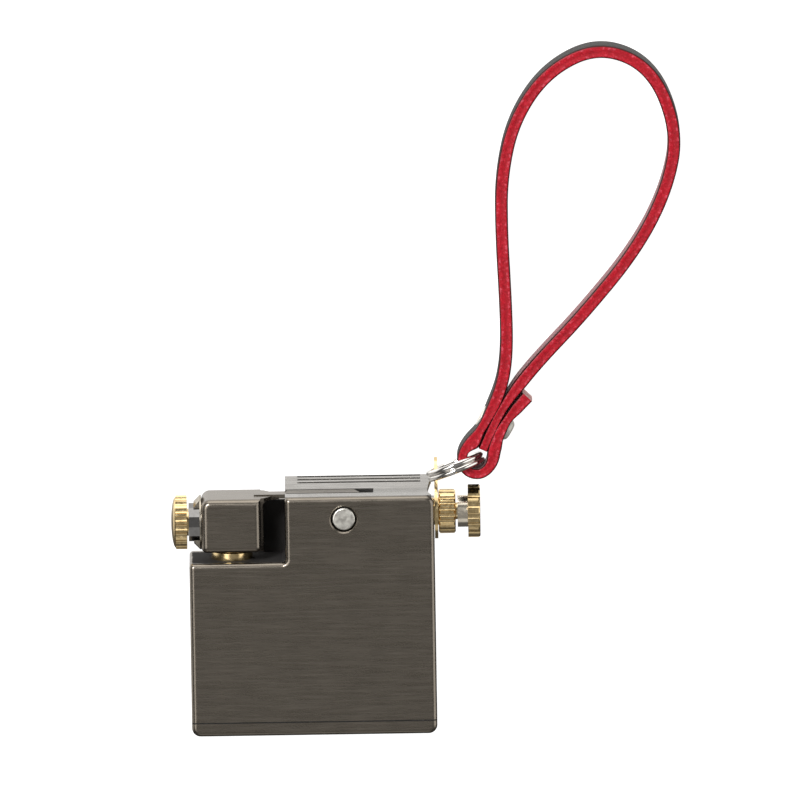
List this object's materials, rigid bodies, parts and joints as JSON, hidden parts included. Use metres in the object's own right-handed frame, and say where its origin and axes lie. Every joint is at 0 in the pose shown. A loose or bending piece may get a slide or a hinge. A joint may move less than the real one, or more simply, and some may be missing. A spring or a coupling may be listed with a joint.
{
  "type": "flint spark lighter",
  "caption": "Pocket petrol lighter with a lift-arm snuffer, thumb lever, flint wheel, brass side knobs, split ring and looped leather wrist strap.",
  "frame": {"origin": "middle of the case's flat rear face, which the lighter lies on", "axes": "+X to the lighter's right, +Y to the lighter's top (wick end), +Z out of its front face; Z = 0 is the rear face"},
  "size_m": [0.094, 0.1263, 0.013],
  "materials": {
    "gunmetal": "brushed black nickel",
    "top_metal": "brushed black nickel",
    "black_nickel": "polished black nickel",
    "brass": "polished",
    "satin_steel": "satin",
    "steel": "bright",
    "chrome": "polished",
    "flint": "matte",
    "cotton": "fibrous",
    "felt": "felted",
    "wick": "braided",
    "gasket": "matte",
    "leather": "red dyed edge, black grained face"
  },
  "bodies": {
    "case": {"case_shell": "gunmetal", "tank_divider": "steel", "cotton_packing": "cotton", "felt_pad": "felt", "wick": "wick", "wick_tube": "brass", "pivot_axle": "satin_steel", "flint_tube": "brass", "flint": "flint", "flint_follower": "brass", "flint_spring": "steel", "lever_pin": "steel", "lever_spring": "steel"},
    "bottom": {"bottom_cap": "gunmetal", "bottom_gasket": "gasket"},
    "snuffer": {"snuffer_arm": "gunmetal", "snuffer_cup": "brass", "knob_washer": "brass", "knob_collar": "black_nickel", "pawl_spring": "steel"},
    "left_knob": {"finger_knob": "brass"},
    "wheel": {"spark_wheel": "steel", "ratchet_wheel": "steel"},
    "lever": {"thumb_lever": "top_metal"},
    "right_knob": {"flint_screw": "brass"},
    "collar": {"knurled_collar": "brass"},
    "lug": {"lug_plate": "brass"},
    "ring": {"split_ring": "chrome"},
    "wrist_strap": {"strap": "leather", "strap_rivet": "satin_steel"}
  },
  "joints": [
    {"name": "lever_press", "type": "hinge", "parent": "case", "child": "lever", "pos_m": [0, 0.0207, 0.0112], "axis": [-1, 0, 0], "range_deg": [0, 8.5], "stiffness_Nm_per_rad": 0.02, "deforming": ["lever_spring"]},
    {"name": "snuffer_lift", "type": "hinge", "parent": "case", "child": "snuffer", "pos_m": [0.0059, 0.01815, 0.0065], "axis": [0, 0, -1], "range_deg": [0, 38]},
    {"name": "wheel_spin", "type": "hinge", "parent": "case", "child": "wheel", "pos_m": [0.0059, 0.01815, 0.0065], "axis": [0, 0, -1], "continuous": true},
    {"name": "left_knob_turn", "type": "hinge", "parent": "snuffer", "child": "left_knob", "pos_m": [-0.0225, 0.0168, 0.0065], "axis": [-1, 0, 0], "continuous": true},
    {"name": "right_knob_turn", "type": "hinge", "parent": "case", "child": "right_knob", "pos_m": [0.0225, 0.01815, 0.0065], "axis": [1, 0, 0], "continuous": true},
    {"name": "collar_turn", "type": "hinge", "parent": "case", "child": "collar", "pos_m": [0.0225, 0.01815, 0.0065], "axis": [1, 0, 0], "continuous": true},
    {"name": "lug_swing", "type": "hinge", "parent": "case", "child": "lug", "pos_m": [0.0225, 0.01815, 0.0065], "axis": [1, 0, 0], "range_deg": [0, 30]},
    {"name": "ring_swing", "type": "hinge", "parent": "lug", "child": "ring", "pos_m": [0.0229, 0.02468, 0.00352], "axis": [0, 0, 1], "range_deg": [-8, 2]},
    {"name": "strap_swing", "type": "hinge", "parent": "ring", "child": "wrist_strap", "pos_m": [0.03122, 0.02817, 0.00648], "axis": [0, 0, 1], "range_deg": [-2, 10]},
    {"name": "bottom_pull", "type": "slide", "parent": "case", "child": "bottom", "axis": [0, -1, 0], "range_m": [0, 0.006]}
  ],
  "couplings": [
    {"joint": "snuffer_lift", "follows": "lever_press", "ratio": 4.4705},
    {"joint": "wheel_spin", "follows": "lever_press", "ratio": 4.4705}
  ]
}
